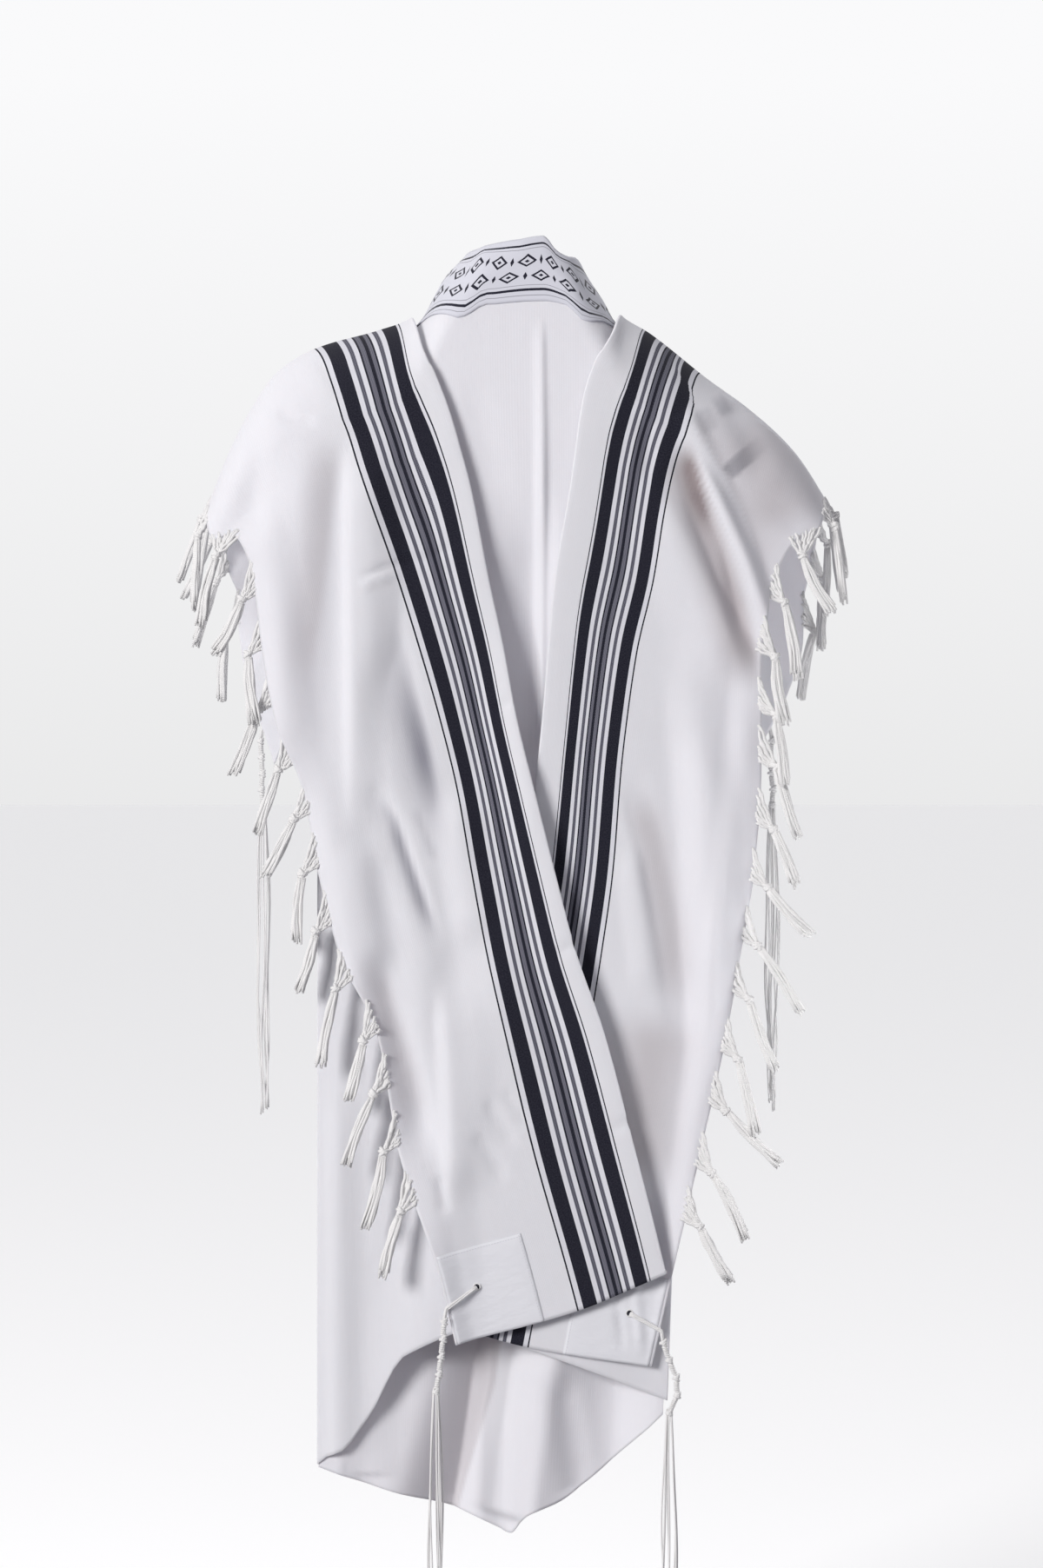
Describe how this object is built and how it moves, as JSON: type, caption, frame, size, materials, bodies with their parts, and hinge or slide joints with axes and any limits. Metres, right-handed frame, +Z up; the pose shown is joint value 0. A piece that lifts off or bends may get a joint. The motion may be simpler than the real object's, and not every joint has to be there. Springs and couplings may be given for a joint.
{
  "type": "prayer shawl",
  "caption": "Large woven wool prayer shawl worn folded over both shoulders, with striped ends, neckband, knotted fringe and corner tassels.",
  "frame": {"origin": "middle of the wearer's neck at shoulder height, where the shawl is carried", "axes": "+Z up, +Y the way the wearer faces, +X the wearer's right as seen from behind"},
  "size_m": [0.6962, 0.3754, 1.5109],
  "materials": {
    "white_wool": "matte wool twill, white with dark navy stripes",
    "neckband_weave": "silvery woven band with dark border lines",
    "patch_cotton": "smooth white cotton",
    "wool_twist": "twisted undyed wool"
  },
  "bodies": {
    "root": {"back_panel": "white_wool", "neckband": "neckband_weave", "left_under_fold": "white_wool", "right_under_fold": "white_wool", "left_end_panel": "white_wool", "right_end_panel": "white_wool", "left_back_patch": "patch_cotton", "left_front_patch": "patch_cotton", "right_back_patch": "patch_cotton", "right_front_patch": "patch_cotton", "left_back_tzitzit": "wool_twist", "left_front_tzitzit": "wool_twist", "right_back_tzitzit": "wool_twist", "right_front_tzitzit": "wool_twist", "left_back_fringe": "wool_twist", "left_front_fringe": "wool_twist", "right_back_fringe": "wool_twist", "right_front_fringe": "wool_twist"}
  },
  "joints": []
}
